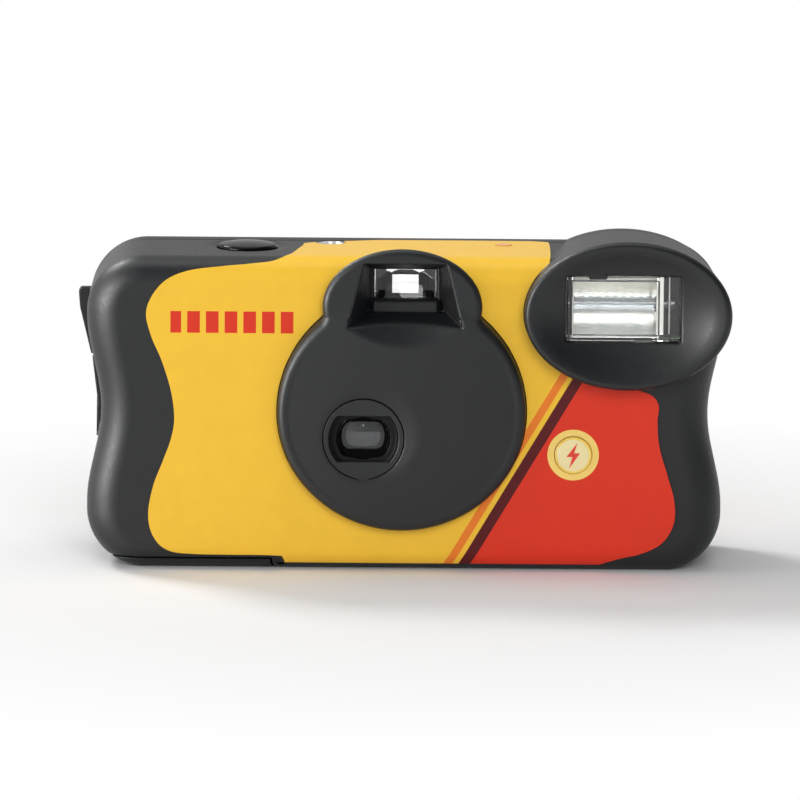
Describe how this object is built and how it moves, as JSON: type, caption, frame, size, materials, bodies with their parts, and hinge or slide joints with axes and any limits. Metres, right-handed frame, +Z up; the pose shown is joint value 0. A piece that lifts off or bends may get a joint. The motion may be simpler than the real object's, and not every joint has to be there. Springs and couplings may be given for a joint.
{
  "type": "disposable film camera",
  "caption": "Single-use 35 mm film camera with a contoured plastic body, a round lens cover, an oval flash pod, a thumbwheel film advance and a hinged bottom film door.",
  "frame": {"origin": "on the base, under the middle of the overall box", "axes": "+Z up; the lens looks towards -Y; +X is to the right of someone who looks at the lens"},
  "size_m": [0.1196, 0.0384, 0.0618],
  "materials": {
    "cover_black": "fine moulded texture, satin",
    "ring_black": "smooth moulded, satin",
    "button_black": "polished",
    "wheel_black": "moulded, satin",
    "inner_black": "matt black inside the camera",
    "white_plastic": "natural acetal",
    "clear_plastic": "clear moulded acrylic",
    "label_yellow": "printed in yellow and red, satin varnish",
    "label_plain": "printed, satin varnish",
    "blade_steel": "blackened sheet",
    "spring_steel": "bright wire",
    "can_lacquer": "lacquered tinplate",
    "cap_lacquer": "lacquered tinplate",
    "felt_black": "velvet pile",
    "film_brown": "film base",
    "mirror_metal": "polished sheet",
    "board_green": "solder resist",
    "part_brown": "lacquered",
    "coil_copper": "wound wire under tape",
    "capacitor_sleeve": "shrink sleeve",
    "battery_sleeve": "printed sleeve",
    "contact_brass": "plated strip",
    "button_yellow": "moulded, with a printed bolt",
    "lamp_orange": "tinted clear plastic"
  },
  "bodies": {
    "camera": {"front_cover": "cover_black", "rear_cover": "cover_black", "front_label": "label_yellow", "rear_label": "label_plain", "main_frame": "inner_black", "lens_retainer": "ring_black", "front_lens": "clear_plastic", "rear_lens": "clear_plastic", "lens_board": "inner_black", "shutter_spring": "spring_steel", "drive_spring": "spring_steel", "counter_window": "clear_plastic", "finder_housing": "inner_black", "finder_lens": "clear_plastic", "eyepiece": "clear_plastic", "cassette_can": "can_lacquer", "cassette_caps": "cap_lacquer", "cassette_felt": "felt_black", "film_strip": "film_brown", "flash_window": "clear_plastic", "flash_reflector": "mirror_metal", "flash_tube": "clear_plastic", "circuit_board": "board_green", "circuit_parts": "part_brown", "transformer": "coil_copper", "trigger_coil": "inner_black", "capacitor": "capacitor_sleeve", "battery": "battery_sleeve", "battery_contacts": "contact_brass", "switch_leaf": "contact_brass", "ready_lamp": "lamp_orange", "light_pipe": "lamp_orange"},
    "winding_wheel": {"thumbwheel": "wheel_black", "cassette_spool": "inner_black"},
    "sprocket": {"metering_sprocket": "white_plastic"},
    "supply": {"supply_spool": "white_plastic", "film_roll": "film_brown"},
    "counter": {"counter_dial": "white_plastic"},
    "release_button": {"shutter_button": "button_black"},
    "stop_lever": {"metering_lever": "white_plastic"},
    "cocking_lever": {"drive_lever": "blade_steel"},
    "blade": {"shutter_blade": "blade_steel"},
    "charge_button": {"flash_button": "button_yellow"},
    "bottom_door": {"film_door": "cover_black"}
  },
  "joints": [
    {"name": "thumbwheel_turn", "type": "hinge", "parent": "camera", "child": "winding_wheel", "pos_m": [-0.03639, 0.00385, 0.0514], "axis": [0, 0, 1], "continuous": true},
    {"name": "sprocket_turn", "type": "hinge", "parent": "camera", "child": "sprocket", "pos_m": [-0.0164, 0.00845, 0.042], "axis": [0, 0, 1], "continuous": true},
    {"name": "supply_turn", "type": "hinge", "parent": "camera", "child": "supply", "pos_m": [0.0351, 0.00535, 0.025], "axis": [0, 0, 1], "continuous": true},
    {"name": "counter_turn", "type": "hinge", "parent": "camera", "child": "counter", "pos_m": [-0.0137, 0.00945, 0.055], "axis": [0, 0, 1], "continuous": true},
    {"name": "shutter_button_press", "type": "slide", "parent": "camera", "child": "release_button", "axis": [0, 0, -1], "range_m": [0, 0.0008], "stiffness_N_per_m": 900, "springref_m": -0.0006},
    {"name": "metering_lever_swing", "type": "hinge", "parent": "camera", "child": "stop_lever", "pos_m": [-0.0175, -0.00105, 0.048], "axis": [0, 0, 1], "range_deg": [0, 6]},
    {"name": "drive_lever_swing", "type": "hinge", "parent": "camera", "child": "cocking_lever", "pos_m": [-0.013, 0.00145, 0.046], "axis": [0, 0, -1], "range_deg": [0, 20], "stiffness_Nm_per_rad": 0.002, "springref_deg": -28.65, "deforming": ["drive_spring"]},
    {"name": "shutter_blade_swing", "type": "hinge", "parent": "camera", "child": "blade", "pos_m": [-0.0004, -0.0106, 0.034], "axis": [0, 1, 0], "range_deg": [0, 35], "stiffness_Nm_per_rad": 0.0006, "springref_deg": -22.92, "deforming": ["shutter_spring"]},
    {"name": "flash_button_press", "type": "slide", "parent": "camera", "child": "charge_button", "axis": [0, 1, 0], "range_m": [0, 0.0006], "stiffness_N_per_m": 900, "springref_m": -0.0006},
    {"name": "film_door_open", "type": "hinge", "parent": "camera", "child": "bottom_door", "pos_m": [-0.02219, 0, 0.0016], "axis": [0, -1, 0], "range_deg": [0, 80]}
  ],
  "couplings": [
    {"joint": "sprocket_turn", "follows": "thumbwheel_turn", "ratio": 1.025},
    {"joint": "supply_turn", "follows": "thumbwheel_turn", "ratio": 0.66},
    {"joint": "counter_turn", "follows": "thumbwheel_turn", "ratio": -0.0256},
    {"joint": "metering_lever_swing", "follows": "shutter_button_press", "rad_per_m": 130}
  ]
}
